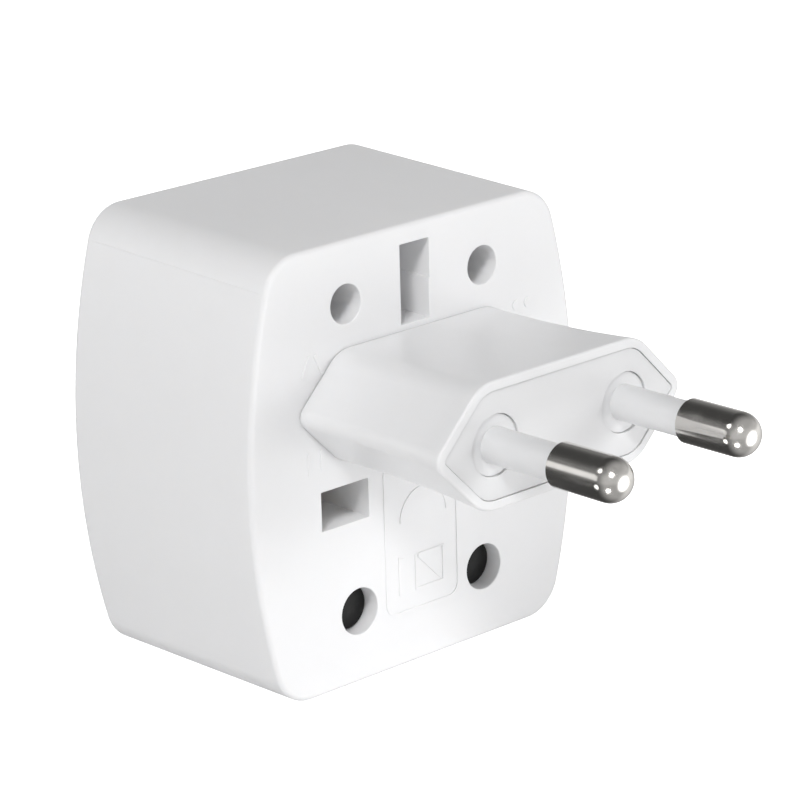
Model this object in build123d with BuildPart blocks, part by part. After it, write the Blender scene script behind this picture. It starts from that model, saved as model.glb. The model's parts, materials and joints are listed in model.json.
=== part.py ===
"""Universal travel adapter: a white casing with a universal socket behind, a pair of turning
flat blades in front, and a slide-off two-pin module that covers the blades.

Millimetres. +Z is up, the pins point along -Y, and the origin lies under the middle of the
whole adapter, on the plane that the casing stands on.
"""
import os
from math import radians, sin, tan

from build123d import *

# ---- overall sizes -------------------------------------------------------------------------
BODY_DEPTH = 28.8          # casing, front wall to back rim
MODULE_LENGTH = 21.4       # two-pin module, seat to front rim
PIN_LENGTH = 18.1          # round pins beyond the front rim
FACE_Y = (MODULE_LENGTH + PIN_LENGTH - BODY_DEPTH) / 2    # plane of the casing's front wall
BACK_Y = FACE_Y + BODY_DEPTH
PLUG_Z = 31.6              # height of the pin axes above the base

# ---- casing --------------------------------------------------------------------------------
FRONT_HEIGHT = 49.3
FRONT_MID_HALF = 24.05     # half width at mid-height
FRONT_END_HALF = 20.05     # half width at top and bottom
FRONT_CORNER_R = 4.8
REAR_HEIGHT = 50.1         # the top rises a little towards the open end, as draft
REAR_MID_HALF = 24.2
REAR_END_HALF = 20.1
REAR_CORNER_R = 4.7
WALL = 2.0
FRONT_WALL = 2.2
FACE_EDGE_R = 0.55         # rounding round the front wall
RIM_EDGE_R = 0.5           # rounding round the open end
MOUTH_R = 0.12             # rounding at the mouths of holes and slots
BASE_SKIM = 0.02           # planed off the underside, so that the casing stands on a true flat
SEAM_R = 0.05              # moulding line where the upper corners run into the sides

# ---- openings in the front wall ------------------------------------------------------------
WELL_DEPTH = 8.0           # slots for the prongs of a plug-on three-pin module
WELL_WALL = 1.2
SLOT_CORNER_R = 0.15
LINE_SLOT = (6.8, 4.4)     # width, height
LINE_SLOT_X = 11.0
LINE_SLOT_DROP = 11.0      # below the pin axes
EARTH_SLOT = (4.3, 8.8)
EARTH_SLOT_RISE = 11.25    # above the pin axes
EARTH_LEDGE = 0.15         # the lower half of the earth slot is this much narrower on one side
SCREW_WELL_X = 10.0
SCREW_WELL_RISE = 10.9
SCREW_WELL_R = 2.15
SCREW_WELL_WALL = 1.4
SCREW_WELL_DEPTH = 16.0
SCREW_SEAT = 2.0           # floor of the well that the screw head bears on
PEG_HOLE_X = 9.35
PEG_HOLE_DROP = 23.5
PEG_HOLE_R = 2.6
PEG_R = 2.5
PEG_SETBACK = 2.0          # peg ends lie this far behind the face

# ---- marks moulded on the front wall ---------------------------------------------------------
MARK_HEIGHT = 0.1
PANEL_WIDTH = 11.0
PANEL_BOTTOM = 6.0
PANEL_TOP = 23.8
PANEL_CORNER_R = 1.6
PANEL_LINE = 0.3
SIGN_Z = 10.4              # middle of the square and bar signs in the panel
SIGN_SIZE = 4.4
SQUARE_X = 1.1
SLASH_LENGTH = 4.9
BAR_X = -3.2
BAR_WIDTH = 0.7
ARC_CENTRE = (0.4, 16.4)
ARC_R = 3.6
ARC_CUT = 2.0              # half the height of the piece cut out under the ring's centre
MARK_X = 15.0
MARK_RISE = 5.3
STROKE = (2.6, 0.45)       # length and width of a stroke
STROKE_GAP = 0.9           # half the space between a sign's two strokes
STROKE_TILT = 25
DOT_R = 0.6

# ---- turning blades ------------------------------------------------------------------------
BLADE_SPACING = 12.7       # between blade centres when upright
BLADE_WIDTH = 6.3
BLADE_THICK = 1.5
BLADE_LENGTH = 16.6
SLANT_DEG = 30.0           # slanted position
SLANT_SPACING = 13.72      # between blade centres when slanted
PIVOT_RISE = (SLANT_SPACING - BLADE_SPACING) / 2 / sin(radians(SLANT_DEG))
PIVOT_X = BLADE_SPACING / 2
PIVOT_Z = PLUG_Z + PIVOT_RISE
ROTOR_R = 4.7
ROTOR_FLANGE_R = 5.4
ROTOR_FLANGE_THICK = 2.2
ROTOR_CHAMFER = 0.25
ROTOR_GAP = 0.08           # running gap round and behind the rotor
WASHER_THICK = 0.3
WASHER_INSET = 0.4
WASHER_SLACK = 0.1
STUB_R = 2.0
STUB_CLEAR = 0.2
STUB_PROUD = 1.2           # stub end beyond the busbar
BUSH_GAP = 0.05
PRESSED = 0.01             # slack left round rivets and screws, which grip in use

# ---- inner plates --------------------------------------------------------------------------
RETAINER_Y = FACE_Y + 4.9
RETAINER_THICK = 1.8
PLATE_WIDTH = 36.0
PLATE_BOTTOM = 4.6
PLATE_TOP = 37.0
PLATE_CORNER_R = 3.0
BOSS_X = 14.6
BOSS_R = 2.4
CARRIER_Y = FACE_Y + 8.8
CARRIER_THICK = 1.8
CARRIER_WALL = 1.2
BUSBAR_THICK = 0.8
BUSBAR_NECK = (6.6, 12.1)  # strip round the blade's stub
BUSBAR_NECK_DROP = 3.0
BUSBAR_PAD = (11.6, 15.0)  # pad that carries both clips
BUSBAR_PAD_X = 9.8
BUSBAR_CORNER_R = 1.2
CLIP_THICK = 0.5
CLIP_REACH = 9.0
RIVET_R = 0.8
TWIN_RIVET_RISE = 1.5      # above the middle of the two-pin apertures

# ---- socket plate --------------------------------------------------------------------------
SOCKET_PLATE = 2.4
SOCKET_GAP = 0.1
SOCKET_Z = 26.5            # centre of the three-pin pattern
SOCKET_INSET = 0.3         # plate lies this far inside the rim
CHIMNEY_DEPTH = 2.9        # guide walls behind each aperture
CHIMNEY_WALL = 1.1
UK_APERTURE = (7.2, 4.6)
UK_X = 11.1
UK_DROP = 11.1
EARTH_APERTURE = (4.6, 9.0)
ROUND_APERTURE_R = 2.45
ROUND_X = 9.5
FLAT_APERTURE = (2.0, 7.4)
APERTURE_R = 0.4
LEAD_IN = 0.25
TWO_PIN_DROP = 4.0
POST_R = 3.0

# ---- two-pin module ------------------------------------------------------------------------
SEAT_TIP, SEAT_FLAT, SEAT_HALF = 17.6, 11.4, 6.2      # sharp hexagon at the seat
RIM_TIP, RIM_FLAT, RIM_HALF = 18.5, 11.6, 6.92        # sharp hexagon at the front rim
WAIST_TIP, WAIST_FLAT, WAIST_HALF = 17.72, 11.35, 6.3
WAIST_AT = 0.55                                      # share of the length, from the seat
SEAT_CORNER_R, SEAT_TIP_R = 4.0, 1.4
RIM_CORNER_R, RIM_TIP_R = 4.5, 1.6
MODULE_WALL = 1.3
MODULE_SEAT_GAP = 0.1
PANEL_THICK = 2.6
PANEL_INSET = 0.12
PANEL_GAP = 0.05
PANEL_EDGE_R = 0.1
LUG_X = 12.6
LUG = (2.2, 3.4)
LUG_HEIGHT = 2.0
LUG_CORNER_R = 0.5
LUG_TAPER = 3

# ---- round pins ----------------------------------------------------------------------------
PIN_X = 9.5
PIN_R = 2.4
SLEEVE_LENGTH = 9.05
SLEEVE_R = 1.95
SLEEVE_TAPER = 0.1         # chamfer at the sleeve's end
SHOULDER = 0.15            # chamfer where the thicker bare metal starts
COLLAR_GAP = 0.03
DOME_R = 2.3               # rounding of the tip
CORE_R = 1.5
COLLAR_R = 3.35
COLLAR_THICK = 1.2
COLLAR_SUNK = 0.25         # collars lie this far below the panel's face
COLLAR_EDGE_R = 0.1
PIN_HEAD_R = 2.8
PIN_HEAD_THICK = 1.3
LEAF_THICK = 0.5
LEAF = (7.2, 5.0)
LEAF_MID_X = 8.0
LEAF_CORNER_R = 1.0
PIN_TAIL_R = 1.2
TAIL_PROUD = 0.3           # riveted end beyond the leaf
RIM_ROUND = 0.25

# ---- screws --------------------------------------------------------------------------------
SCREW_HEAD_R = 1.95
SCREW_HEAD = 1.5
SCREW_SHANK_R = 1.2
SCREW_CLEAR = 0.25
SCREW_LENGTH = 8.5
SMALL_HEAD_R = 1.8
SMALL_HEAD = 1.2
SMALL_SHANK_R = 0.95
SMALL_PILOT = 3.6
PILOT_SPARE = 0.5          # the pilot holes are this much deeper than the screws
RECESS_LENGTH = 1.1        # cross recess, in head radii
RECESS_WIDTH = 0.25


def at_y(y):
    """Sketch plane at depth y: local x is world X, local y is world Z."""
    return Plane.XZ.offset(-y)


def barrel(height, mid_half, end_half, corner_r, inset=0.0):
    """Casing outline before the base is planed: flat ends, bowed sides, rounded corners."""
    low = -BASE_SKIM
    with BuildSketch() as outline:
        with BuildLine():
            Line((-end_half, height), (end_half, height))
            ThreePointArc((end_half, height), (mid_half, height / 2), (end_half, low))
            Line((end_half, low), (-end_half, low))
            ThreePointArc((-end_half, low), (-mid_half, height / 2), (-end_half, height))
        make_face()
        fillet(outline.vertices(), corner_r)
        if inset:
            offset(amount=-inset, kind=Kind.INTERSECTION, mode=Mode.REPLACE)
    return outline.sketch


def front_outline(inset=0.0):
    return barrel(FRONT_HEIGHT, FRONT_MID_HALF, FRONT_END_HALF, FRONT_CORNER_R, inset)


def rear_outline(inset=0.0):
    return barrel(REAR_HEIGHT, REAR_MID_HALF, REAR_END_HALF, REAR_CORNER_R, inset)


def corner_root(outline, side):
    """Where a bowed side runs into the upper rounded corner."""
    flank = outline.vertices().filter_by(lambda v: side * v.X > FRONT_END_HALF)
    upper = flank.filter_by(lambda v: v.Y > FRONT_HEIGHT / 2)
    root = upper.sort_by(Axis.Y)[0]
    return (root.X, root.Y)


def hexagon(tip, flat, half, corner_r, tip_r, inset=0.0):
    """Long hexagon of the two-pin module, centred on the pin axes, drawn in by inset."""
    x_tip = tip - inset / sin(radians(45))
    x_flat = flat - inset * tan(radians(22.5))
    z_half = half - inset
    with BuildSketch() as outline:
        Polygon(
            (x_tip, 0),
            (x_flat, z_half),
            (-x_flat, z_half),
            (-x_tip, 0),
            (-x_flat, -z_half),
            (x_flat, -z_half),
        )
        fillet(outline.vertices().filter_by_position(Axis.Y, -1, 1), max(tip_r - inset, 0.5))
        corners = outline.vertices().filter_by(lambda v: abs(v.Y) > z_half - 0.01)
        fillet(corners, max(corner_r - inset, 1.0))
    return outline.sketch


def front_openings(grow=0.0, earth=True):
    """Line, neutral and earth slots of the front wall."""
    with BuildSketch() as slots:
        with Locations(*LINE_SLOTS):
            RectangleRounded(
                LINE_SLOT[0] + 2 * grow, LINE_SLOT[1] + 2 * grow, SLOT_CORNER_R + grow
            )
        if earth:
            with Locations((0, PLUG_Z + EARTH_SLOT_RISE)):
                RectangleRounded(
                    EARTH_SLOT[0] + 2 * grow, EARTH_SLOT[1] + 2 * grow, SLOT_CORNER_R + grow
                )
    return slots.sketch


def earth_ledge():
    """The strip that narrows the lower half of the earth slot on its right side."""
    with BuildSketch() as strip:
        with Locations(
            (
                (EARTH_SLOT[0] - EARTH_LEDGE) / 2,
                PLUG_Z + EARTH_SLOT_RISE - EARTH_SLOT[1] / 4,
            )
        ):
            Rectangle(EARTH_LEDGE, EARTH_SLOT[1] / 2)
    return strip.sketch


def socket_apertures(grow=0.0):
    """Apertures of the universal socket: three-pin slots, and merged two-pin shapes."""
    two_pin_z = SOCKET_Z - TWO_PIN_DROP
    with BuildSketch() as holes:
        with Locations((UK_X, SOCKET_Z - UK_DROP), (-UK_X, SOCKET_Z - UK_DROP)):
            RectangleRounded(UK_APERTURE[0] + 2 * grow, UK_APERTURE[1] + 2 * grow, APERTURE_R + grow)
        with Locations((0, SOCKET_Z + UK_DROP)):
            RectangleRounded(
                EARTH_APERTURE[0] + 2 * grow, EARTH_APERTURE[1] + 2 * grow, APERTURE_R + grow
            )
        for side in (-1, 1):
            reach = ROUND_X - PIVOT_X
            with Locations((side * (PIVOT_X + reach / 2), two_pin_z)):
                SlotCenterToCenter(reach, 2 * (ROUND_APERTURE_R + grow))
            with Locations((side * PIVOT_X, two_pin_z)):
                Rectangle(FLAT_APERTURE[0] + 2 * grow, FLAT_APERTURE[1] + 2 * grow)
            with Locations((side * SLANT_SPACING / 2, two_pin_z)):
                Rectangle(
                    FLAT_APERTURE[0] + 2 * grow,
                    FLAT_APERTURE[1] + 2 * grow,
                    rotation=side * SLANT_DEG,
                )
    return holes.sketch


def inner_plate():
    """Outline shared by the two inner plates."""
    with BuildSketch() as outline:
        with Locations((0, (PLATE_TOP + PLATE_BOTTOM) / 2)):
            RectangleRounded(PLATE_WIDTH, PLATE_TOP - PLATE_BOTTOM, PLATE_CORNER_R)
    return outline.sketch


SCREW_WELLS = [(side * SCREW_WELL_X, PLUG_Z + SCREW_WELL_RISE) for side in (-1, 1)]
PEGS = [(side * PEG_HOLE_X, PLUG_Z - PEG_HOLE_DROP) for side in (-1, 1)]
PIVOTS = [(side * PIVOT_X, PIVOT_Z) for side in (-1, 1)]
BOSSES = [(side * BOSS_X, PLUG_Z) for side in (-1, 1)]
PINS = [(side * PIN_X, PLUG_Z) for side in (-1, 1)]
LINE_SLOTS = [(side * LINE_SLOT_X, PLUG_Z - LINE_SLOT_DROP) for side in (-1, 1)]
UK_SOCKET_Z = SOCKET_Z - UK_DROP
TWIN_SOCKET_Z = SOCKET_Z - TWO_PIN_DROP
PLATE_Y = BACK_Y - SOCKET_INSET - SOCKET_PLATE          # inner face of the socket plate
SCREW_SEAT_Y = FACE_Y + SCREW_WELL_DEPTH
BUSBAR_Y = CARRIER_Y + CARRIER_THICK
CLIP_Y = BUSBAR_Y + BUSBAR_THICK
RIM_Y = FACE_Y - MODULE_LENGTH
MODULE_SEAT_Y = FACE_Y - MODULE_SEAT_GAP
PANEL_Y = RIM_Y + PANEL_INSET
PANEL_BACK_Y = PANEL_Y + PANEL_THICK
UK_RIVETS = [(side * UK_X, UK_SOCKET_Z) for side in (-1, 1)]
TWIN_RIVETS = [(side * ROUND_X, TWIN_SOCKET_Z + TWIN_RIVET_RISE) for side in (-1, 1)]


# ---- main housing: front wall and sides in one moulding, open behind -------------------------
HOOK_X = 11.0
HOOK_WIDTH = 5.0
HOOK_REACH = 3.2
HOOK_NIB = (1.2, 0.7)      # along Y, down
HOOK_THICK = 1.2
POCKET_GAP = 0.2
SEAM_FROM = 1.0            # the moulding lines stop this short of both ends

with BuildPart() as main_housing:
    with BuildSketch(at_y(FACE_Y)):
        add(front_outline())
    with BuildSketch(at_y(BACK_Y)):
        add(rear_outline())
    loft()
    fillet(main_housing.faces().sort_by(Axis.Y)[0].edges(), FACE_EDGE_R)
    fillet(main_housing.faces().sort_by(Axis.Y)[-1].edges(), RIM_EDGE_R)
    # fine moulding lines along both upper corners
    for side in (-1, 1):
        with BuildSketch(at_y(FACE_Y + SEAM_FROM)):
            with Locations(corner_root(front_outline(), side)):
                Circle(SEAM_R)
        with BuildSketch(at_y(BACK_Y - SEAM_FROM)):
            with Locations(corner_root(rear_outline(), side)):
                Circle(SEAM_R)
        loft()
    split(bisect_by=Plane.XY)
    with BuildSketch(at_y(FACE_Y + FRONT_WALL)):
        add(front_outline(WALL))
    with BuildSketch(at_y(BACK_Y)):
        add(rear_outline(WALL))
    loft(mode=Mode.SUBTRACT)
    # guide walls of the three slots
    with BuildSketch(at_y(FACE_Y + FRONT_WALL)):
        add(front_openings(WELL_WALL))
    extrude(amount=-(WELL_DEPTH - FRONT_WALL))
    # the earth slot is blind: its guide wall has a floor
    with BuildSketch(at_y(FACE_Y + WELL_DEPTH)):
        with Locations((0, PLUG_Z + EARTH_SLOT_RISE)):
            RectangleRounded(
                EARTH_SLOT[0] + 2 * WELL_WALL, EARTH_SLOT[1] + 2 * WELL_WALL, WELL_WALL
            )
    extrude(amount=-WELL_WALL)
    # screw wells, and posts for the rotor retainer
    with BuildSketch(at_y(FACE_Y + FRONT_WALL)):
        with Locations(*SCREW_WELLS):
            Circle(SCREW_WELL_R + SCREW_WELL_WALL)
    extrude(amount=-(SCREW_WELL_DEPTH + SCREW_SEAT - FRONT_WALL))
    with BuildSketch(at_y(FACE_Y + FRONT_WALL)):
        with Locations(*BOSSES):
            Circle(BOSS_R)
    extrude(amount=-(RETAINER_Y - FACE_Y - FRONT_WALL))
    # lugs that centre the two-pin module
    with BuildSketch(at_y(FACE_Y)):
        with Locations((LUG_X, PLUG_Z), (-LUG_X, PLUG_Z)):
            RectangleRounded(*LUG, LUG_CORNER_R)
    extrude(amount=LUG_HEIGHT, taper=LUG_TAPER)
    # openings
    with BuildSketch(at_y(FACE_Y)):
        add(front_openings())
        add(earth_ledge(), mode=Mode.SUBTRACT)
    extrude(amount=-WELL_DEPTH, mode=Mode.SUBTRACT)
    with BuildSketch(at_y(FACE_Y)):
        with Locations(*SCREW_WELLS):
            Circle(SCREW_WELL_R)
    extrude(amount=-SCREW_WELL_DEPTH, mode=Mode.SUBTRACT)
    with BuildSketch(at_y(SCREW_SEAT_Y)):
        with Locations(*SCREW_WELLS):
            Circle(SCREW_SHANK_R + SCREW_CLEAR)
    extrude(amount=-SCREW_SEAT, mode=Mode.SUBTRACT)
    with BuildSketch(at_y(FACE_Y)):
        with Locations(*PEGS):
            Circle(PEG_HOLE_R)
        with Locations(*PIVOTS):
            Circle(ROTOR_R + ROTOR_GAP)
    extrude(amount=-FRONT_WALL, mode=Mode.SUBTRACT)
    with BuildSketch(at_y(RETAINER_Y)):
        with Locations(*BOSSES):
            Circle(SMALL_SHANK_R)
    extrude(amount=SMALL_PILOT, mode=Mode.SUBTRACT)
    # pockets in the floor for the socket plate's hooks
    with BuildSketch(Plane.XY.offset(WALL - HOOK_NIB[1] - POCKET_GAP)):
        with Locations(
            (HOOK_X, PLATE_Y - HOOK_REACH + HOOK_NIB[0] / 2),
            (-HOOK_X, PLATE_Y - HOOK_REACH + HOOK_NIB[0] / 2),
        ):
            Rectangle(HOOK_WIDTH + 2 * POCKET_GAP, HOOK_NIB[0] + 2 * POCKET_GAP)
    extrude(amount=HOOK_THICK, mode=Mode.SUBTRACT)
    # soft mouths of the round holes and the slots
    mouths = main_housing.edges().filter_by_position(Axis.Y, FACE_Y - 0.01, FACE_Y + 0.01)
    round_mouths = mouths.filter_by(GeomType.CIRCLE).filter_by(
        lambda e: abs(e.radius - SCREW_WELL_R) < 0.01 or abs(e.radius - PEG_HOLE_R) < 0.01
    )
    fillet(round_mouths, MOUTH_R)
    # raised marks: outlined panel, and a sign for each kind of blade position
    with BuildSketch(at_y(FACE_Y)):
        with Locations((0, (PANEL_TOP + PANEL_BOTTOM) / 2)):
            RectangleRounded(PANEL_WIDTH, PANEL_TOP - PANEL_BOTTOM, PANEL_CORNER_R)
            RectangleRounded(
                PANEL_WIDTH - 2 * PANEL_LINE,
                PANEL_TOP - PANEL_BOTTOM - 2 * PANEL_LINE,
                PANEL_CORNER_R - PANEL_LINE,
                mode=Mode.SUBTRACT,
            )
        # plain square with a slash, and a bar beside it
        with Locations((SQUARE_X, SIGN_Z)):
            Rectangle(SIGN_SIZE, SIGN_SIZE)
            Rectangle(
                SIGN_SIZE - 2 * PANEL_LINE, SIGN_SIZE - 2 * PANEL_LINE, mode=Mode.SUBTRACT
            )
            Rectangle(PANEL_LINE, SLASH_LENGTH, rotation=45)
        with Locations((BAR_X, SIGN_Z)):
            Rectangle(BAR_WIDTH, SIGN_SIZE)
        # half ring above
        with Locations(ARC_CENTRE):
            Circle(ARC_R)
            Circle(ARC_R - PANEL_LINE, mode=Mode.SUBTRACT)
        with Locations((ARC_CENTRE[0], ARC_CENTRE[1] - ARC_CUT)):
            Rectangle(2 * ARC_R + PANEL_LINE, 2 * ARC_CUT, mode=Mode.SUBTRACT)
    extrude(amount=MARK_HEIGHT)
    with BuildSketch(at_y(FACE_Y)):
        with Locations((-MARK_X, PLUG_Z + MARK_RISE)):
            with Locations((-STROKE_GAP, 0)):
                SlotOverall(*STROKE, rotation=90 - STROKE_TILT)
            with Locations((STROKE_GAP, 0)):
                SlotOverall(*STROKE, rotation=90 + STROKE_TILT)
        with Locations((-MARK_X, PLUG_Z - MARK_RISE)):
            with Locations((-STROKE_GAP, 0), (STROKE_GAP, 0)):
                SlotOverall(*STROKE, rotation=90)
        with Locations((MARK_X + 1, PLUG_Z + MARK_RISE)):
            with Locations((-STROKE_GAP, 0), (STROKE_GAP, 0)):
                Circle(DOT_R)
    extrude(amount=MARK_HEIGHT)


# ---- socket plate: closes the open end and carries the universal apertures -------------------
with BuildPart() as socket_plate:
    with BuildSketch(at_y(PLATE_Y)):
        add(rear_outline(WALL + SOCKET_GAP))
    extrude(amount=-SOCKET_PLATE)
    with BuildSketch(at_y(PLATE_Y)):
        add(socket_apertures(CHIMNEY_WALL))
    extrude(amount=CHIMNEY_DEPTH)
    with BuildSketch(at_y(PLATE_Y)):
        with Locations(*SCREW_WELLS):
            Circle(POST_R)
    extrude(amount=PLATE_Y - SCREW_SEAT_Y - SCREW_SEAT - SOCKET_GAP)
    # hooks under the lower edge
    with BuildSketch(Plane.YZ.offset(HOOK_X - HOOK_WIDTH / 2)):
        with BuildLine():
            Polyline(
                (PLATE_Y, WALL + SOCKET_GAP),
                (PLATE_Y - HOOK_REACH + HOOK_NIB[0], WALL + SOCKET_GAP),
                (PLATE_Y - HOOK_REACH + HOOK_NIB[0], WALL - HOOK_NIB[1]),
                (PLATE_Y - HOOK_REACH, WALL + SOCKET_GAP),
                (PLATE_Y - HOOK_REACH, WALL + SOCKET_GAP + HOOK_THICK),
                (PLATE_Y, WALL + SOCKET_GAP + HOOK_THICK),
                close=True,
            )
        make_face()
    hook = extrude(amount=HOOK_WIDTH)
    mirror(hook, about=Plane.YZ)
    with BuildSketch(at_y(BACK_Y)):
        add(socket_apertures())
    extrude(amount=SOCKET_INSET + SOCKET_PLATE + CHIMNEY_DEPTH, mode=Mode.SUBTRACT)
    with BuildSketch(at_y(SCREW_SEAT_Y + SCREW_SEAT)):
        with Locations(*SCREW_WELLS):
            Circle(SCREW_SHANK_R)
    extrude(amount=-(SCREW_LENGTH - SCREW_SEAT + PILOT_SPARE), mode=Mode.SUBTRACT)
    # lead-in round the three-pin apertures
    plate_back = socket_plate.faces().sort_by(Axis.Y)[-1]
    for wire in plate_back.inner_wires().filter_by(lambda w: len(w.edges()) == 8):
        chamfer(wire.edges(), LEAD_IN)


# ---- rotor retainer: black plate behind the front wall, pegged into its lower holes ----------
with BuildPart() as rotor_retainer:
    with BuildSketch(at_y(RETAINER_Y)):
        add(inner_plate())
        add(front_openings(WELL_WALL + STUB_CLEAR, earth=False), mode=Mode.SUBTRACT)
        with Locations(*PIVOTS):
            Circle(STUB_R + STUB_CLEAR, mode=Mode.SUBTRACT)
        with Locations(*BOSSES):
            Circle(SMALL_SHANK_R + SCREW_CLEAR, mode=Mode.SUBTRACT)
    extrude(amount=-RETAINER_THICK)
    with BuildSketch(at_y(RETAINER_Y)):
        with Locations(*PEGS):
            Circle(PEG_R)
    extrude(amount=RETAINER_Y - FACE_Y - PEG_SETBACK)


# ---- contact carrier: tray that keeps the line and neutral parts apart ------------------------
CARRIER_FRONT_Y = RETAINER_Y + RETAINER_THICK + 0.1
CARRIER_BACK_Y = PLATE_Y - CHIMNEY_DEPTH - 0.2

with BuildPart() as contact_carrier:
    with BuildSketch(at_y(CARRIER_FRONT_Y)):
        add(inner_plate())
        offset(inner_plate(), amount=-CARRIER_WALL, mode=Mode.SUBTRACT)
    extrude(amount=-(CARRIER_BACK_Y - CARRIER_FRONT_Y))
    with BuildSketch(at_y(CARRIER_Y)):
        add(inner_plate())
    extrude(amount=-CARRIER_THICK)
    with BuildSketch(at_y(BUSBAR_Y)):
        with Locations((0, (PLATE_TOP + PLATE_BOTTOM) / 2)):
            Rectangle(CARRIER_WALL, PLATE_TOP - PLATE_BOTTOM - CARRIER_WALL)
    extrude(amount=-(CARRIER_BACK_Y - BUSBAR_Y))
    with BuildSketch(at_y(CARRIER_Y)):
        add(front_openings(earth=False))
        with Locations(*PIVOTS):
            Circle(STUB_R + STUB_CLEAR)
        with Locations(*(UK_RIVETS + TWIN_RIVETS)):
            Circle(RIVET_R)
    extrude(amount=-CARRIER_THICK, mode=Mode.SUBTRACT)


# ---- busbars: one punched strip a side, from the turning stub to the socket clips -------------
def busbar(side):
    with BuildPart() as strip:
        with BuildSketch(at_y(BUSBAR_Y)):
            with Locations((side * PIVOT_X, PIVOT_Z - BUSBAR_NECK_DROP)):
                RectangleRounded(*BUSBAR_NECK, BUSBAR_CORNER_R)
            with Locations((side * BUSBAR_PAD_X, (UK_SOCKET_Z + TWIN_SOCKET_Z) / 2 + 1)):
                RectangleRounded(*BUSBAR_PAD, BUSBAR_CORNER_R)
            with Locations((side * PIVOT_X, PIVOT_Z)):
                Circle(STUB_R + BUSH_GAP, mode=Mode.SUBTRACT)
            with Locations(
                (side * UK_X, UK_SOCKET_Z), (side * ROUND_X, TWIN_SOCKET_Z + TWIN_RIVET_RISE)
            ):
                Circle(RIVET_R, mode=Mode.SUBTRACT)
        extrude(amount=-BUSBAR_THICK)
    return strip


live_busbar = busbar(-1)
neutral_busbar = busbar(1)


# ---- spring clips behind the apertures ---------------------------------------------------------
UK_CLIP_GAP = 3.8
UK_CLIP_WIDTH = 6.0
TWIN_CLIP_WIDTH = 6.0
TWIN_LEAVES = (5.3, 7.6, 11.7)
MOUTH_FLARE = 0.7
FLARE_LENGTH = 1.6


def uk_clip(side):
    """Two leaves, above and below the flat prong."""
    mid = CLIP_Y + CLIP_THICK / 2
    half = (UK_CLIP_GAP + CLIP_THICK) / 2
    with BuildPart() as clip:
        with BuildSketch(Plane.YZ.offset(side * UK_X - UK_CLIP_WIDTH / 2)):
            with BuildLine():
                Polyline(
                    (mid + CLIP_REACH, UK_SOCKET_Z + half + MOUTH_FLARE),
                    (mid + CLIP_REACH - FLARE_LENGTH, UK_SOCKET_Z + half),
                    (mid, UK_SOCKET_Z + half),
                    (mid, UK_SOCKET_Z - half),
                    (mid + CLIP_REACH - FLARE_LENGTH, UK_SOCKET_Z - half),
                    (mid + CLIP_REACH, UK_SOCKET_Z - half - MOUTH_FLARE),
                )
            trace(line_width=CLIP_THICK)
        extrude(amount=UK_CLIP_WIDTH)
        with BuildSketch(at_y(CLIP_Y)):
            with Locations((side * UK_X, UK_SOCKET_Z)):
                Circle(RIVET_R)
        extrude(amount=-CLIP_THICK, mode=Mode.SUBTRACT)
    return clip


def twin_clip(side):
    """Three upright leaves: flat blade between the inner two, round pin between the outer two."""
    mid = CLIP_Y + CLIP_THICK / 2
    inner, middle, outer = (side * x for x in TWIN_LEAVES)
    with BuildPart() as clip:
        with BuildSketch(Plane.XY.offset(TWIN_SOCKET_Z - TWIN_CLIP_WIDTH / 2)):
            with BuildLine():
                Polyline(
                    (inner - side * MOUTH_FLARE, mid + CLIP_REACH),
                    (inner, mid + CLIP_REACH - FLARE_LENGTH),
                    (inner, mid),
                    (outer, mid),
                    (outer, mid + CLIP_REACH - FLARE_LENGTH),
                    (outer + side * MOUTH_FLARE, mid + CLIP_REACH),
                )
            trace(line_width=CLIP_THICK)
            with Locations((middle, mid + (CLIP_REACH - FLARE_LENGTH) / 2)):
                Rectangle(CLIP_THICK, CLIP_REACH - FLARE_LENGTH)
        extrude(amount=TWIN_CLIP_WIDTH)
        with BuildSketch(at_y(CLIP_Y)):
            with Locations((side * ROUND_X, TWIN_SOCKET_Z + TWIN_RIVET_RISE)):
                Circle(RIVET_R)
        extrude(amount=-CLIP_THICK, mode=Mode.SUBTRACT)
    return clip


live_uk_clip = uk_clip(-1)
neutral_uk_clip = uk_clip(1)
live_twin_clip = twin_clip(-1)
neutral_twin_clip = twin_clip(1)


# ---- rivets through clip, busbar and carrier ---------------------------------------------------
RIVET_HEAD_R = 1.3
RIVET_HEAD = 0.5

with BuildPart() as clip_rivets:
    with BuildSketch(at_y(CARRIER_Y - RIVET_HEAD)):
        with Locations(*(UK_RIVETS + TWIN_RIVETS)):
            Circle(RIVET_HEAD_R)
    extrude(amount=-RIVET_HEAD)
    with BuildSketch(at_y(CARRIER_Y - RIVET_HEAD)):
        with Locations(*(UK_RIVETS + TWIN_RIVETS)):
            Circle(RIVET_R - PRESSED)
    extrude(amount=-(CLIP_Y + CLIP_THICK - CARRIER_Y + 2 * RIVET_HEAD))
    with BuildSketch(at_y(CLIP_Y + CLIP_THICK)):
        with Locations(*(UK_RIVETS + TWIN_RIVETS)):
            Circle(RIVET_HEAD_R)
    extrude(amount=-RIVET_HEAD)


# ---- screws ------------------------------------------------------------------------------------
def cross_screw(spots, head_y, head_r, head_depth, shank_r, length):
    """Pan-head screws driven towards +Y, seated with their heads in front of head_y."""
    with BuildPart() as screws:
        with BuildSketch(at_y(head_y)):
            with Locations(*spots):
                Circle(head_r)
        extrude(amount=head_depth)
        fillet(screws.faces().sort_by(Axis.Y)[: len(spots)].edges(), head_depth / 3)
        with BuildSketch(at_y(head_y)):
            with Locations(*spots):
                Circle(shank_r)
        extrude(amount=-length)
        with BuildSketch(at_y(head_y - head_depth)):
            with Locations(*spots):
                Rectangle(head_r * RECESS_LENGTH, head_r * RECESS_WIDTH)
                Rectangle(head_r * RECESS_WIDTH, head_r * RECESS_LENGTH)
        extrude(amount=-head_depth / 2, mode=Mode.SUBTRACT)
    return screws


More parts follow.
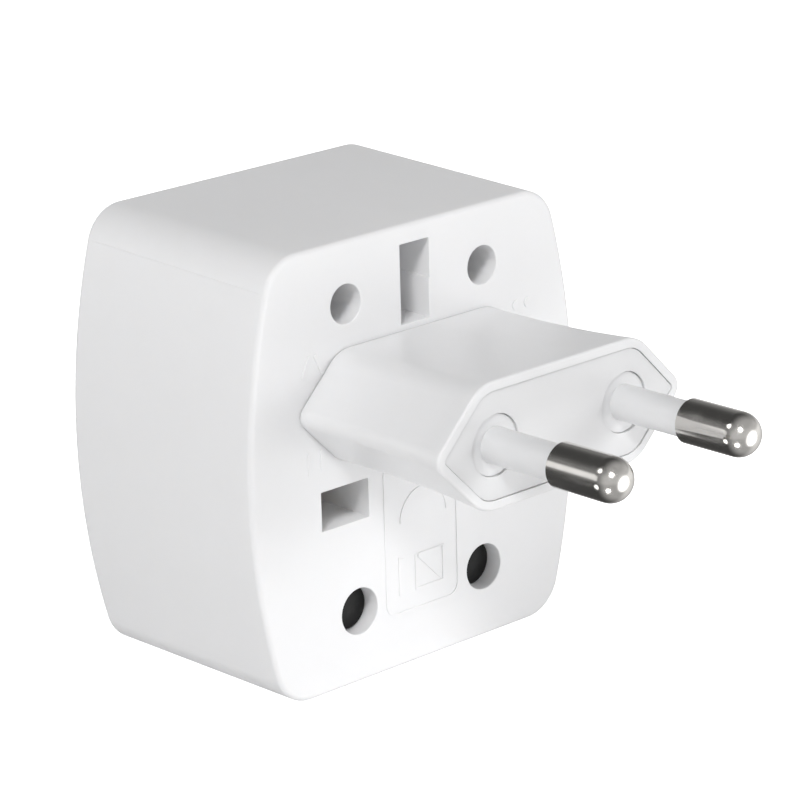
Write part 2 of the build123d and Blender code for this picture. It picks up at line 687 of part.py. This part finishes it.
casing_screws = cross_screw(
    SCREW_WELLS, SCREW_SEAT_Y, SCREW_HEAD_R, SCREW_HEAD, SCREW_SHANK_R - PRESSED, SCREW_LENGTH
)

with BuildPart() as retainer_screws:
    with BuildSketch(at_y(RETAINER_Y + RETAINER_THICK)):
        with Locations(*BOSSES):
            Circle(SMALL_HEAD_R)
    extrude(amount=-SMALL_HEAD)
    fillet(retainer_screws.faces().sort_by(Axis.Y)[-2:].edges(), SMALL_HEAD / 3)
    with BuildSketch(at_y(RETAINER_Y + RETAINER_THICK)):
        with Locations(*BOSSES):
            Circle(SMALL_SHANK_R - PRESSED)
    extrude(amount=RETAINER_THICK + SMALL_PILOT - PILOT_SPARE)
    with BuildSketch(at_y(RETAINER_Y + RETAINER_THICK + SMALL_HEAD)):
        with Locations(*BOSSES):
            Rectangle(SMALL_HEAD_R * RECESS_LENGTH, SMALL_HEAD_R * RECESS_WIDTH)
            Rectangle(SMALL_HEAD_R * RECESS_WIDTH, SMALL_HEAD_R * RECESS_LENGTH)
    extrude(amount=SMALL_HEAD / 2, mode=Mode.SUBTRACT)


# ---- turning blades ------------------------------------------------------------------------------
FLANGE_Y = FACE_Y + FRONT_WALL + ROTOR_GAP
ROTOR_BACK_Y = FLANGE_Y + ROTOR_FLANGE_THICK
BLADE_ROOT_Y = FLANGE_Y + ROTOR_FLANGE_THICK / 2
STUB_END_Y = CLIP_Y + STUB_PROUD
ROTOR_SETBACK = 0.1


def rotor(side):
    """Disc that turns in the front wall, with a flange behind the wall."""
    with BuildPart() as disc:
        with BuildSketch(at_y(FACE_Y + ROTOR_SETBACK)):
            with Locations((side * PIVOT_X, PIVOT_Z)):
                Circle(ROTOR_R)
        extrude(amount=-(FLANGE_Y - FACE_Y - ROTOR_SETBACK))
        with BuildSketch(at_y(FLANGE_Y)):
            with Locations((side * PIVOT_X, PIVOT_Z)):
                Circle(ROTOR_FLANGE_R)
        extrude(amount=-ROTOR_FLANGE_THICK)
        chamfer(disc.faces().sort_by(Axis.Y)[0].edges(), ROTOR_CHAMFER)
        with BuildSketch(at_y(FACE_Y)):
            with Locations((side * PIVOT_X, PLUG_Z)):
                Rectangle(BLADE_THICK, BLADE_WIDTH)
        extrude(amount=-(BLADE_ROOT_Y - FACE_Y), mode=Mode.SUBTRACT)
        with BuildSketch(at_y(BLADE_ROOT_Y)):
            with Locations((side * PIVOT_X, PIVOT_Z)):
                Circle(STUB_R)
        extrude(amount=-(ROTOR_BACK_Y - BLADE_ROOT_Y), mode=Mode.SUBTRACT)
    return disc


def blade(side):
    """Flat blade with a round stub behind, which turns in the busbar."""
    with BuildPart() as prong:
        with BuildSketch(at_y(FACE_Y - BLADE_LENGTH)):
            with Locations((side * PIVOT_X, PLUG_Z)):
                Rectangle(BLADE_THICK, BLADE_WIDTH)
        extrude(amount=-(BLADE_LENGTH + BLADE_ROOT_Y - FACE_Y))
        chamfer(prong.faces().sort_by(Axis.Y)[0].edges(), BLADE_THICK / 5)
        with BuildSketch(at_y(BLADE_ROOT_Y)):
            with Locations((side * PIVOT_X, PIVOT_Z)):
                Circle(STUB_R)
        extrude(amount=-(STUB_END_Y - BLADE_ROOT_Y))
    return prong


left_rotor = rotor(-1)
right_rotor = rotor(1)
left_blade = blade(-1)
right_blade = blade(1)

with BuildPart() as friction_washers:
    with BuildSketch(at_y(ROTOR_BACK_Y + ROTOR_GAP)):
        with Locations(*PIVOTS):
            Circle(ROTOR_FLANGE_R - WASHER_INSET)
            Circle(STUB_R + STUB_CLEAR + WASHER_SLACK, mode=Mode.SUBTRACT)
    extrude(amount=-WASHER_THICK)


# ---- two-pin module --------------------------------------------------------------------------------
PANEL_SEAT_INSET = 1.05
POCKET_DEPTH = PANEL_INSET + PANEL_THICK
THROAT_WALL = 1.75


def seat_hexagon(inset=0.0):
    return hexagon(SEAT_TIP, SEAT_FLAT, SEAT_HALF, SEAT_CORNER_R, SEAT_TIP_R, inset)


def waist_hexagon(inset=0.0):
    return hexagon(WAIST_TIP, WAIST_FLAT, WAIST_HALF, SEAT_CORNER_R, SEAT_TIP_R, inset)


def rim_hexagon(inset=0.0):
    return hexagon(RIM_TIP, RIM_FLAT, RIM_HALF, RIM_CORNER_R, RIM_TIP_R, inset)


with BuildPart() as module_shell:
    with BuildSketch(at_y(MODULE_SEAT_Y)):
        with Locations((0, PLUG_Z)):
            add(seat_hexagon())
    with BuildSketch(at_y(FACE_Y - MODULE_LENGTH * WAIST_AT)):
        with Locations((0, PLUG_Z)):
            add(waist_hexagon())
    with BuildSketch(at_y(RIM_Y)):
        with Locations((0, PLUG_Z)):
            add(rim_hexagon())
    loft()
    fillet(module_shell.faces().sort_by(Axis.Y)[0].edges(), RIM_ROUND)
    with BuildSketch(at_y(MODULE_SEAT_Y)):
        with Locations((0, PLUG_Z)):
            add(seat_hexagon(MODULE_WALL))
    with BuildSketch(at_y(RIM_Y + POCKET_DEPTH)):
        with Locations((0, PLUG_Z)):
            add(rim_hexagon(THROAT_WALL))
    loft(mode=Mode.SUBTRACT)
    with BuildSketch(at_y(RIM_Y)):
        with Locations((0, PLUG_Z)):
            add(rim_hexagon(PANEL_SEAT_INSET))
    extrude(amount=-POCKET_DEPTH, mode=Mode.SUBTRACT)

with BuildPart() as module_panel:
    with BuildSketch(at_y(PANEL_Y)):
        with Locations((0, PLUG_Z)):
            add(rim_hexagon(PANEL_SEAT_INSET + PANEL_GAP))
    extrude(amount=-PANEL_THICK)
    fillet(module_panel.faces().sort_by(Axis.Y)[0].edges(), PANEL_EDGE_R)
    with BuildSketch(at_y(PANEL_Y)):
        with Locations(*PINS):
            Circle(COLLAR_R)
    extrude(amount=-(COLLAR_THICK + COLLAR_SUNK), mode=Mode.SUBTRACT)
    with BuildSketch(at_y(PANEL_Y)):
        with Locations(*PINS):
            Circle(CORE_R)
    extrude(amount=-PANEL_THICK, mode=Mode.SUBTRACT)


def pin_sleeve(side):
    """Insulating sleeve round the root of a pin, with a collar let into the panel."""
    collar_y = PANEL_Y + COLLAR_SUNK
    with BuildPart() as sleeve:
        with BuildSketch(at_y(collar_y)):
            with Locations((side * PIN_X, PLUG_Z)):
                Circle(COLLAR_R - COLLAR_GAP)
        extrude(amount=-COLLAR_THICK)
        fillet(sleeve.faces().sort_by(Axis.Y)[0].edges(), COLLAR_EDGE_R)
        with BuildSketch(at_y(RIM_Y - SLEEVE_LENGTH)):
            with Locations((side * PIN_X, PLUG_Z)):
                Circle(SLEEVE_R)
        extrude(amount=-(collar_y - RIM_Y + SLEEVE_LENGTH))
        chamfer(sleeve.faces().sort_by(Axis.Y)[0].edges(), SLEEVE_TAPER)
        with BuildSketch(at_y(RIM_Y - SLEEVE_LENGTH)):
            with Locations((side * PIN_X, PLUG_Z)):
                Circle(CORE_R)
        extrude(amount=-(SLEEVE_LENGTH + MODULE_LENGTH), mode=Mode.SUBTRACT)
    return sleeve


def round_pin(side):
    """Turned pin: full diameter beyond the sleeve, thinner core inside it, head behind the panel."""
    with BuildPart() as pin:
        with BuildSketch(at_y(RIM_Y - PIN_LENGTH)):
            with Locations((side * PIN_X, PLUG_Z)):
                Circle(PIN_R)
        extrude(amount=-(PIN_LENGTH - SLEEVE_LENGTH))
        chamfer(pin.faces().sort_by(Axis.Y)[-1].edges(), SHOULDER)
        fillet(pin.faces().sort_by(Axis.Y)[0].edges(), DOME_R)
        with BuildSketch(at_y(RIM_Y - SLEEVE_LENGTH)):
            with Locations((side * PIN_X, PLUG_Z)):
                Circle(CORE_R)
        extrude(amount=-(PANEL_BACK_Y - RIM_Y + SLEEVE_LENGTH))
        with BuildSketch(at_y(PANEL_BACK_Y)):
            with Locations((side * PIN_X, PLUG_Z)):
                Circle(PIN_HEAD_R)
        extrude(amount=-PIN_HEAD_THICK)
        with BuildSketch(at_y(PANEL_BACK_Y + PIN_HEAD_THICK)):
            with Locations((side * PIN_X, PLUG_Z)):
                Circle(PIN_TAIL_R)
        extrude(amount=-(LEAF_THICK + TAIL_PROUD))
    return pin


def contact_leaf(side):
    """Flat spring on the pin's tail, reaching across to the end of the turning blade."""
    with BuildPart() as leaf:
        with BuildSketch(at_y(PANEL_BACK_Y + PIN_HEAD_THICK)):
            with Locations((side * LEAF_MID_X, PLUG_Z)):
                RectangleRounded(*LEAF, LEAF_CORNER_R)
            with Locations((side * PIN_X, PLUG_Z)):
                Circle(PIN_TAIL_R, mode=Mode.SUBTRACT)
        extrude(amount=-LEAF_THICK)
    return leaf


left_pin_sleeve = pin_sleeve(-1)
right_pin_sleeve = pin_sleeve(1)
left_pin = round_pin(-1)
right_pin = round_pin(1)
left_leaf = contact_leaf(-1)
right_leaf = contact_leaf(1)


NODES = {
    "main_housing": main_housing,
    "socket_plate": socket_plate,
    "rotor_retainer": rotor_retainer,
    "contact_carrier": contact_carrier,
    "live_busbar": live_busbar,
    "neutral_busbar": neutral_busbar,
    "live_uk_clip": live_uk_clip,
    "neutral_uk_clip": neutral_uk_clip,
    "live_twin_clip": live_twin_clip,
    "neutral_twin_clip": neutral_twin_clip,
    "clip_rivets": clip_rivets,
    "casing_screws": casing_screws,
    "retainer_screws": retainer_screws,
    "friction_washers": friction_washers,
    "left_rotor": left_rotor,
    "right_rotor": right_rotor,
    "left_blade": left_blade,
    "right_blade": right_blade,
    "module_shell": module_shell,
    "module_panel": module_panel,
    "left_pin_sleeve": left_pin_sleeve,
    "right_pin_sleeve": right_pin_sleeve,
    "left_pin": left_pin,
    "right_pin": right_pin,
    "left_leaf": left_leaf,
    "right_leaf": right_leaf,
}

os.makedirs("parts", exist_ok=True)
for name, node in NODES.items():
    node.part.label = name
    export_step(node.part, f"parts/{name}.step")
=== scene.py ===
import json
import math

import bpy
from mathutils import Matrix, Vector


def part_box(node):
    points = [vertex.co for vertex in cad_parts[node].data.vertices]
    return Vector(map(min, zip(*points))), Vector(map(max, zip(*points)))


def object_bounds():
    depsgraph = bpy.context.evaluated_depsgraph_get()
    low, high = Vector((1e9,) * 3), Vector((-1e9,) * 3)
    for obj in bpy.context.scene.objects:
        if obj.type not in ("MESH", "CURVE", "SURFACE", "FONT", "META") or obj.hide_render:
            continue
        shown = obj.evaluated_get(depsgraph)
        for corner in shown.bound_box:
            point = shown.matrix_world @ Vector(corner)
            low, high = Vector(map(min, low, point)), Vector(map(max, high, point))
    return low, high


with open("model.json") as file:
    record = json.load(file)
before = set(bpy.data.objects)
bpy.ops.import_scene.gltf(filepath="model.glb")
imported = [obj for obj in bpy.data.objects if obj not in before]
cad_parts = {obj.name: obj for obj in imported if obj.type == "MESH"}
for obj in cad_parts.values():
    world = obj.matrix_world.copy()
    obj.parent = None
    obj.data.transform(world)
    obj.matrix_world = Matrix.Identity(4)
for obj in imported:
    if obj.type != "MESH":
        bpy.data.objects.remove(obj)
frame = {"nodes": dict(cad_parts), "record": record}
cad_low, cad_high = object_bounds()
nodes = frame["nodes"]
scene = bpy.context.scene


# ---------------------------------------------------------------- node helpers
class Graph:
    """A material's node tree, with short calls to add and wire nodes."""

    def __init__(self, name):
        self.material = bpy.data.materials.new(name)
        self.material.use_nodes = True
        self.tree = self.material.node_tree
        self.tree.nodes.clear()
        self.output = self.tree.nodes.new("ShaderNodeOutputMaterial")
        self.coordinates = self.tree.nodes.new("ShaderNodeTexCoord").outputs["Object"]

    def node(self, kind, **settings):
        made = self.tree.nodes.new(kind)
        for key, value in settings.items():
            setattr(made, key, value)
        return made

    def wire(self, source, target):
        self.tree.links.new(source, target)

    def put(self, target, value):
        """A number, a colour or another node's output goes into a socket."""
        if isinstance(value, bpy.types.NodeSocket):
            self.wire(value, target)
        else:
            target.default_value = value

    def stretched(self, scale):
        mapping = self.node("ShaderNodeMapping")
        mapping.inputs["Scale"].default_value = scale
        self.wire(self.coordinates, mapping.inputs["Vector"])
        return mapping.outputs["Vector"]

    def noise(self, scale, detail=3.0, roughness=0.55, vector=None, distortion=0.0):
        made = self.node("ShaderNodeTexNoise")
        self.wire(vector or self.coordinates, made.inputs["Vector"])
        made.inputs["Scale"].default_value = scale
        made.inputs["Detail"].default_value = detail
        made.inputs["Roughness"].default_value = roughness
        made.inputs["Distortion"].default_value = distortion
        return made.outputs["Fac"]

    def ramp(self, value, low, high, to_low=0.0, to_high=1.0):
        made = self.node("ShaderNodeMapRange", clamp=True)
        self.wire(value, made.inputs["Value"])
        made.inputs["From Min"].default_value = low
        made.inputs["From Max"].default_value = high
        made.inputs["To Min"].default_value = to_low
        made.inputs["To Max"].default_value = to_high
        return made.outputs["Result"]

    def math(self, operation, a, b):
        made = self.node("ShaderNodeMath", operation=operation)
        self.put(made.inputs[0], a)
        self.put(made.inputs[1], b)
        return made.outputs["Value"]

    def mix(self, factor, a, b):
        made = self.node("ShaderNodeMix", data_type="RGBA")
        self.put(made.inputs["Factor"], factor)
        self.put(made.inputs["A"], a)
        self.put(made.inputs["B"], b)
        return made.outputs["Result"]

    def edges(self, radius, gain):
        """0 on flat parts, rising to 1 along convex and concave edges."""
        bevel = self.node("ShaderNodeBevel", samples=6)
        bevel.inputs["Radius"].default_value = radius
        geometry = self.node("ShaderNodeNewGeometry")
        dot = self.node("ShaderNodeVectorMath", operation="DOT_PRODUCT")
        self.wire(bevel.outputs["Normal"], dot.inputs[0])
        self.wire(geometry.outputs["Normal"], dot.inputs[1])
        return self.ramp(dot.outputs["Value"], 1.0, 1.0 - gain)

    def corners(self, distance):
        """1 in the open, falling to 0 deep in seams and holes."""
        occlusion = self.node("ShaderNodeAmbientOcclusion", samples=8)
        occlusion.inputs["Distance"].default_value = distance
        return occlusion.outputs["AO"]

    def bump(self, layers):
        """Chains (height, strength, distance) layers into one normal."""
        normal = None
        for height, strength, distance in layers:
            made = self.node("ShaderNodeBump")
            made.inputs["Strength"].default_value = strength
            made.inputs["Distance"].default_value = distance
            self.wire(height, made.inputs["Height"])
            if normal:
                self.wire(normal, made.inputs["Normal"])
            normal = made.outputs["Normal"]
        return normal

    def surface(self, colour, roughness, normal, **constants):
        shader = self.node("ShaderNodeBsdfPrincipled")
        self.put(shader.inputs["Base Color"], colour)
        self.put(shader.inputs["Roughness"], roughness)
        self.wire(normal, shader.inputs["Normal"])
        for key, value in constants.items():
            shader.inputs[key.replace("_", " ")].default_value = value
        self.wire(shader.outputs["BSDF"], self.output.inputs["Surface"])
        return self.material


def grey(level, warm=0.0):
    return (level * (1 + warm), level, level * (1 - warm), 1.0)


# ---------------------------------------------------------------- materials
# sizes of the plastic's textures, as noise scales (features per metre)
CLOUD = 45.0
FLOW = 120.0
HANDLING = 160.0
SHEEN = 230.0
RUB = 420.0
SCRATCH = 2400.0
SPARK = 5200.0
COOL = 1.008                  # the plastic's blue is this much above its red and green
EDGE = 0.0005                 # width of the rubbed edges
SHADE_REACH = 0.0010                # depth over which seams and hole mouths get painted shade


def white_plastic(name, tone, gloss, grain=1.0, translucent=0.22):
    """Moulded white plastic: cloudy tone, fine spark grain, faint flow waves, worn edges, painted
    shade in seams and hole mouths.
    """
    g = Graph(name)
    base = (tone, tone, tone * COOL, 1.0)
    pale = tuple(min(c * 1.03, 0.97) for c in base[:3]) + (1.0,)
    dull = tuple(c * t for c, t in zip(base[:3], (0.955, 0.95, 0.94))) + (1.0,)
    cloud = g.ramp(g.noise(CLOUD, 4.0), 0.3, 0.7)
    colour = g.mix(cloud, base, tuple(c * 0.985 for c in base[:3]) + (1.0,))
    # handling marks gather in patches
    smudge = g.math("MULTIPLY", g.ramp(g.noise(HANDLING, 5.0, 0.65), 0.50, 0.85), 0.22)
    colour = g.mix(smudge, colour, dull)
    # painted shade: seams and hole mouths are darkened where ambient occlusion finds them
    dust_and_shade = g.math("MULTIPLY", g.ramp(g.corners(SHADE_REACH), 0.70, 0.2), 0.12)
    # the darker colour painted in as shade
    shade_tone = tuple(c * t for c, t in zip(base[:3], (0.80, 0.79, 0.77))) + (1.0,)
    colour = g.mix(dust_and_shade, colour, shade_tone)
    # edges are rubbed smooth and a shade paler, in broken lengths
    worn = g.math(
        "MULTIPLY", g.edges(EDGE, 0.12), g.ramp(g.noise(RUB, 4.0), 0.42, 0.62)
    )
    colour = g.mix(g.math("MULTIPLY", worn, 0.6), colour, pale)
    rough = g.ramp(g.noise(SHEEN, 5.0), 0.25, 0.75, gloss - 0.05, gloss + 0.07)
    rough = g.math("ADD", rough, g.math("MULTIPLY", worn, 0.10))
    scratches = g.noise(SCRATCH, 2.0, 0.5, g.stretched((1.0, 0.05, 0.25)), 0.3)
    rough = g.math("ADD", rough, g.ramp(scratches, 0.66, 0.80, 0.0, 0.05))
    normal = g.bump(
        [
            (g.noise(FLOW, 2.0), 0.10 * grain, 0.00020),
            (g.noise(SPARK, 3.0, 0.6), 0.16 * grain, 0.00002),
        ]
    )
    return g.surface(
        colour,
        rough,
        normal,
        Subsurface_Weight=translucent,
        Subsurface_Radius=(0.0030, 0.0028, 0.0026),
        Subsurface_Scale=0.6,
        IOR=1.5,
        Specular_IOR_Level=0.5,
    )


def black_plastic():
    g = Graph("black_moulding")
    colour = g.mix(g.ramp(g.noise(300.0, 4.0), 0.3, 0.7), grey(0.009), grey(0.016))
    dust_and_shade = g.math("MULTIPLY", g.ramp(g.noise(900.0, 5.0, 0.7), 0.55, 0.8), 0.25)
    colour = g.mix(dust_and_shade, colour, grey(0.045, 0.02))
    worn = g.edges(0.0003, 0.15)
    colour = g.mix(g.math("MULTIPLY", worn, 0.4), colour, grey(0.10))
    rough = g.ramp(g.noise(700.0, 4.0), 0.3, 0.7, 0.42, 0.58)
    normal = g.bump([(g.noise(4200.0, 3.0, 0.6), 0.3, 0.00002)])
    return g.surface(colour, rough, normal, IOR=1.5, Specular_IOR_Level=0.15)


def metal(name, base, dark, gloss, tarnish=0.3):
    """Plated or rolled metal: fine lengthwise marks, faint tarnish, rubbed edges."""
    g = Graph(name)
    marks = g.noise(2600.0, 3.0, 0.6, g.stretched((1.0, 0.05, 1.0)))
    stain = g.ramp(g.noise(260.0, 5.0, 0.6), 0.45, 0.75, 0.0, tarnish)
    colour = g.mix(stain, base, dark)
    colour = g.mix(g.math("MULTIPLY", g.ramp(marks, 0.55, 0.75), 0.25), colour, dark)
    worn = g.edges(0.0003, 0.2)
    rubbed = tuple(min(c * 1.15, 1.0) for c in base[:3]) + (1.0,)
    colour = g.mix(g.math("MULTIPLY", worn, 0.35), colour, rubbed)
    rough = g.ramp(g.noise(520.0, 4.0), 0.3, 0.7, gloss - 0.03, gloss + 0.06)
    rough = g.math("ADD", rough, g.ramp(marks, 0.58, 0.75, 0.0, 0.08))
    normal = g.bump([(marks, 0.075, 0.00001), (g.noise(350.0, 2.0), 0.05, 0.0001)])
    return g.surface(colour, rough, normal, Metallic=1.0, IOR=1.5)


LOOKS = {
    "white_casing": white_plastic("casing_white", 0.86, 0.33),
    "white_module": white_plastic("module_white", 0.83, 0.34, translucent=0.25),
    "white_panel": white_plastic("panel_white", 0.76, 0.38, translucent=0.22),
    "sleeve_plastic": white_plastic("sleeve_white", 0.80, 0.34, 0.7, 0.22),
    "black_plastic": black_plastic(),
    "brass": metal("punched_brass", (0.78, 0.57, 0.24, 1), (0.45, 0.30, 0.12, 1), 0.28),
    "spring_bronze": metal("spring_bronze", (0.74, 0.48, 0.27, 1), (0.42, 0.25, 0.13, 1), 0.30),
    "steel": metal("zinc_steel", (0.62, 0.63, 0.65, 1), (0.38, 0.38, 0.40, 1), 0.32),
    "nickel_plate": metal("nickel_plate", (0.74, 0.72, 0.69, 1), (0.52, 0.50, 0.47, 1), 0.15, 0.2),
}

slot_of = {s["node"]: s["material_slot"] for s in frame["record"]["subparts"]}
for name, node in nodes.items():
    node.data.materials.clear()
    node.data.materials.append(LOOKS[slot_of[name]])


# ---------------------------------------------------------------- floor
FLOOR_SIZE = 8.0
FLOOR_GAP = 0.0001            # the floor lies this far under the object
FLOOR_GLOW = 0.20             # glow of the floor on the object
FULL_WHITE = 1.2              # glow of the floor and the world for the camera


def pale_floor():
    """White sweep: shines full white for the camera and gives a dimmer bounce to the object."""
    g = Graph("studio_floor")
    colour = g.mix(g.ramp(g.noise(6.0, 3.0), 0.3, 0.7), grey(0.90), grey(0.88))
    normal = g.bump([(g.noise(900.0, 3.0), 0.05, 0.0001)])
    seen = g.node("ShaderNodeLightPath").outputs["Is Camera Ray"]
    g.surface(colour, 0.75, normal)
    shader = next(n for n in g.tree.nodes if n.type == "BSDF_PRINCIPLED")
    shader.inputs["Emission Color"].default_value = (1, 1, 1, 1)
    g.wire(g.ramp(seen, 0.0, 1.0, FLOOR_GLOW, FULL_WHITE), shader.inputs["Emission Strength"])
    return g.material


bpy.ops.mesh.primitive_grid_add(x_subdivisions=8, y_subdivisions=8, size=FLOOR_SIZE)
floor = bpy.context.object
floor.name = "floor"
floor.location = (0, 0, cad_low.z - FLOOR_GAP)
floor.data.materials.append(pale_floor())
floor.visible_glossy = False


# ---------------------------------------------------------------- light
SKY = 0.34                    # white of the sky in diffuse light
DARK_ROOM = 0.065             # what is left between the lamps in reflections
# lamps seen in reflections only: azimuth, elevation, inner and outer radius (degrees), level
REFLECTED_LAMPS = (
    (-37, 38, 8, 11, 9.0),
    (-120, 43, 6, 10, 5.0),
    (-56, -38, 7, 10, 8.0),
    (-117, -24, 6, 10, 3.0),
    (22, -13, 16, 34, 2.5),
)


def towards(azimuth, elevation):
    """Unit vector to an azimuth (0 in front, positive to the right) and an elevation."""
    a, e = math.radians(azimuth), math.radians(elevation)
    return Vector((math.sin(a) * math.cos(e), -math.cos(a) * math.cos(e), math.sin(e)))


def softbox(name, azimuth, elevation, distance, size, level):
    """A round soft light on the middle of the object; level 1 lights it as a white sky would."""
    out = towards(azimuth, elevation)
    data = bpy.data.lights.new(name, "AREA")
    data.shape = "DISK"
    data.size = size
    data.energy = level * (math.pi * distance) ** 2
    lamp = bpy.data.objects.new(name, data)
    scene.collection.objects.link(lamp)
    lamp.location = (cad_low + cad_high) / 2 + out * distance
    lamp.rotation_euler = (-out).to_track_quat("-Z", "Y").to_euler()
    lamp.visible_glossy = False


softbox("key_left", -58, 45, 0.9, 0.20, 0.50)
softbox("front_right", 38, 14, 1.0, 0.40, 0.27)


def studio():
    """White sky for diffuse light; reflections see a darker room with lamps and a backdrop."""
    world = bpy.data.worlds.new("studio")
    world.use_nodes = True
    tree = world.node_tree
    background = tree.nodes["Background"]
    direction = tree.nodes.new("ShaderNodeTexCoord").outputs["Generated"]
    axes = tree.nodes.new("ShaderNodeSeparateXYZ")
    tree.links.new(direction, axes.inputs[0])

    def ramp(value, start, end, low=0.0, high=1.0):
        made = tree.nodes.new("ShaderNodeMapRange")
        made.clamp = True
        made.interpolation_type = "SMOOTHSTEP"
        tree.links.new(value, made.inputs["Value"])
        ends = (start, end, low, high)
        for key, number in zip(("From Min", "From Max", "To Min", "To Max"), ends):
            made.inputs[key].default_value = number
        return made.outputs["Result"]

    def join(operation, a, b):
        made = tree.nodes.new("ShaderNodeMath")
        made.operation = operation
        for socket, value in zip(made.inputs, (a, b)):
            if isinstance(value, bpy.types.NodeSocket):
                tree.links.new(value, socket)
            else:
                socket.default_value = value
        return made.outputs["Value"]

    def spot(azimuth, elevation, inner, outer, level):
        dot = tree.nodes.new("ShaderNodeVectorMath")
        dot.operation = "DOT_PRODUCT"
        tree.links.new(direction, dot.inputs[0])
        dot.inputs[1].default_value = towards(azimuth, elevation)
        outside, inside = math.cos(math.radians(outer)), math.cos(math.radians(inner))
        return ramp(dot.outputs["Value"], outside, inside, 0.0, level)

    x, y, z = axes.outputs
    backdrop = join("MULTIPLY", ramp(z, -0.04, 0.03), ramp(z, 0.36, 0.30))
    backdrop = join("MULTIPLY", backdrop, ramp(x, -0.30, -0.45, 0.0, 0.85))
    backdrop = join("MULTIPLY", backdrop, ramp(y, 0.30, 0.58))
    haze = join("MULTIPLY", ramp(z, -0.30, 0.0), ramp(z, 0.75, 0.40, 0.0, 0.16))
    side = join("MULTIPLY", ramp(x, 0.25, 0.75, 0.0, 0.45), ramp(z, 0.30, 0.12))
    front = ramp(y, 0.45, -0.40, 0.0, 0.40)
    seen = join("ADD", join("ADD", backdrop, haze), join("ADD", side, front))
    for lamp in REFLECTED_LAMPS:
        seen = join("ADD", seen, spot(*lamp))
    seen = join("ADD", seen, DARK_ROOM)
    path = tree.nodes.new("ShaderNodeLightPath")
    glossy = path.outputs["Is Glossy Ray"]
    sky = join("MULTIPLY", join("SUBTRACT", 1.0, glossy), SKY)
    mixed = join("ADD", join("MULTIPLY", glossy, seen), sky)
    # past the edge of the floor the camera sees the same white
    mixed = join("ADD", mixed, join("MULTIPLY", path.outputs["Is Camera Ray"], FULL_WHITE - SKY))
    background.inputs["Color"].default_value = (1.0, 1.0, 1.0, 1)
    tree.links.new(mixed, background.inputs["Strength"])
    return world


scene.world = studio()
scene.view_settings.view_transform = "Standard"
scene.view_settings.look = "None"


# ---------------------------------------------------------------- camera
CAMERA_AZIMUTH = math.radians(-43.17)
CAMERA_ELEVATION = math.radians(17.65)
CAMERA_ROLL = math.radians(-1.58)
CAMERA_DISTANCE = 0.3947
CAMERA_LENS = 166.8
AIM = Vector((-0.00265, 0, -0.00135))    # from the middle of the module's seat

shell_low, shell_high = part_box("module_shell")
seat = Vector((0, shell_high.y + 0.0001, (shell_low.z + shell_high.z) / 2))
target = seat + AIM
back = Vector(
    (
        math.sin(CAMERA_AZIMUTH) * math.cos(CAMERA_ELEVATION),
        -math.cos(CAMERA_AZIMUTH) * math.cos(CAMERA_ELEVATION),
        math.sin(CAMERA_ELEVATION),
    )
)
right = (-back).cross(Vector((0, 0, 1))).normalized()
up = right.cross(-back)
rolled_right = right * math.cos(CAMERA_ROLL) + up * math.sin(CAMERA_ROLL)
rolled_up = -right * math.sin(CAMERA_ROLL) + up * math.cos(CAMERA_ROLL)
camera_data = bpy.data.cameras.new("camera")
camera_data.lens = CAMERA_LENS
camera_data.sensor_width = 36.0
camera_data.clip_start = 0.01
camera_data.clip_end = 20.0
camera = bpy.data.objects.new("camera", camera_data)
scene.collection.objects.link(camera)
place = Matrix((rolled_right, rolled_up, back)).transposed().to_4x4()
place.translation = target + back * CAMERA_DISTANCE
camera.matrix_world = place
scene.camera = camera
